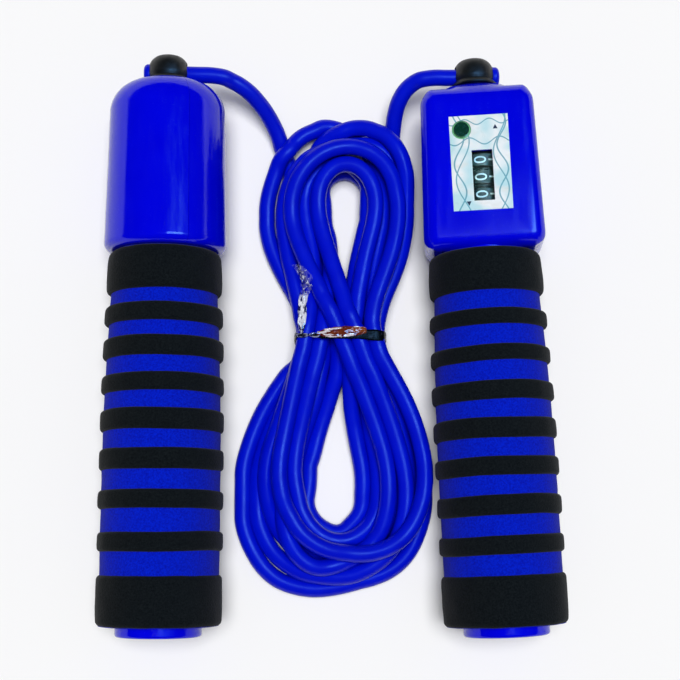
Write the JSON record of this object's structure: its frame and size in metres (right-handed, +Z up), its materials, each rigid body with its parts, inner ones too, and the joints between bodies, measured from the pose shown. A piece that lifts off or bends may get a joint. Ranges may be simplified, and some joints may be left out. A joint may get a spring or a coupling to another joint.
{
  "type": "jump rope",
  "caption": "jump rope with foam-covered handles on swivels and a turn counter in one handle, its cord coiled and tied between them",
  "frame": {"origin": "centre of the two handles' footprint, on the surface they lie on", "axes": "+Y runs along the plain handle from its end cap to its swivel, +X from the plain handle to the counter handle, +Z up from the surface"},
  "size_m": [0.1309, 0.1656, 0.0348],
  "materials": {
    "blue_shell": "gloss",
    "blue_foam": "matte",
    "black_foam": "matte",
    "black_cap": "satin",
    "steel": "satin",
    "brass_gear": "satin",
    "white_gear": "satin",
    "number_wheel": "satin",
    "label": "satin",
    "lens": "gloss",
    "green_button": "gloss",
    "rope": "gloss",
    "tie": "gloss"
  },
  "bodies": {
    "rope": {"rope_hank": "rope", "plain_rope_lead": "rope", "counter_rope_lead": "rope", "twist_tie": "tie", "plain_swivel_cap": "black_cap", "plain_swivel_shaft": "steel", "plain_retaining_clip": "steel", "counter_swivel_cap": "black_cap", "counter_swivel_shaft": "steel", "counter_retaining_clip": "steel", "drive_pinion": "brass_gear"},
    "plain_handle": {"plain_front_shell": "blue_shell", "plain_rear_shell": "blue_shell", "plain_core_tube": "blue_shell", "plain_foam_sleeve": "blue_foam", "plain_foam_rings": "black_foam", "plain_end_cap": "blue_shell"},
    "counter_handle": {"counter_front_shell": "blue_shell", "counter_rear_shell": "blue_shell", "counter_core_tube": "blue_shell", "counter_foam_sleeve": "blue_foam", "counter_foam_rings": "black_foam", "counter_end_cap": "blue_shell", "counter_frame": "white_gear", "number_axle": "steel", "idler_axle": "steel", "carry_axle": "steel", "label_plate": "label", "window_lens": "lens", "reset_spring": "steel"},
    "idler": {"idler_gear": "white_gear"},
    "units": {"units_wheel": "number_wheel"},
    "tens": {"tens_wheel": "number_wheel"},
    "hundreds": {"hundreds_wheel": "number_wheel"},
    "tens_carry": {"tens_carry_pinion": "white_gear"},
    "hundreds_carry": {"hundreds_carry_pinion": "white_gear"},
    "reset": {"reset_button": "green_button", "reset_bar": "white_gear"}
  },
  "joints": [
    {"name": "plain_swivel", "type": "hinge", "parent": "rope", "child": "plain_handle", "pos_m": [-0.04806, 0.07499, 0.0174], "axis": [0, -1, 0], "continuous": true},
    {"name": "counter_swivel", "type": "hinge", "parent": "rope", "child": "counter_handle", "pos_m": [0.04134, 0.07499, 0.0174], "axis": [0.0436, -0.999, 0], "continuous": true},
    {"name": "idler_spin", "type": "hinge", "parent": "counter_handle", "child": "idler", "pos_m": [0.04774, 0.05675, 0.01728], "axis": [0.0436, -0.999, 0], "continuous": true},
    {"name": "units_spin", "type": "hinge", "parent": "counter_handle", "child": "units", "pos_m": [0.04234, 0.05031, 0.02292], "axis": [0.0436, -0.999, 0], "continuous": true},
    {"name": "tens_spin", "type": "hinge", "parent": "counter_handle", "child": "tens", "pos_m": [0.04256, 0.04531, 0.02292], "axis": [0.0436, -0.999, 0], "continuous": true},
    {"name": "hundreds_spin", "type": "hinge", "parent": "counter_handle", "child": "hundreds", "pos_m": [0.04277, 0.04032, 0.02292], "axis": [0.0436, -0.999, 0], "continuous": true},
    {"name": "tens_carry_spin", "type": "hinge", "parent": "counter_handle", "child": "tens_carry", "pos_m": [0.04324, 0.04784, 0.0154], "axis": [0.0436, -0.999, 0], "continuous": true},
    {"name": "hundreds_carry_spin", "type": "hinge", "parent": "counter_handle", "child": "hundreds_carry", "pos_m": [0.04346, 0.04285, 0.0154], "axis": [0.0436, -0.999, 0], "continuous": true},
    {"name": "reset_press", "type": "slide", "parent": "counter_handle", "child": "reset", "axis": [0.1044, 0.0046, -0.9945], "range_m": [0, 0.0015], "stiffness_N_per_m": 300, "springref_m": -0.002, "deforming": ["reset_spring"]}
  ],
  "couplings": [
    {"joint": "idler_spin", "follows": "counter_swivel", "ratio": 0.4},
    {"joint": "units_spin", "follows": "counter_swivel", "ratio": -0.1},
    {"joint": "tens_spin", "follows": "counter_swivel", "ratio": -0.01},
    {"joint": "hundreds_spin", "follows": "counter_swivel", "ratio": -0.001},
    {"joint": "tens_carry_spin", "follows": "counter_swivel", "ratio": 0.025},
    {"joint": "hundreds_carry_spin", "follows": "counter_swivel", "ratio": 0.0025}
  ]
}
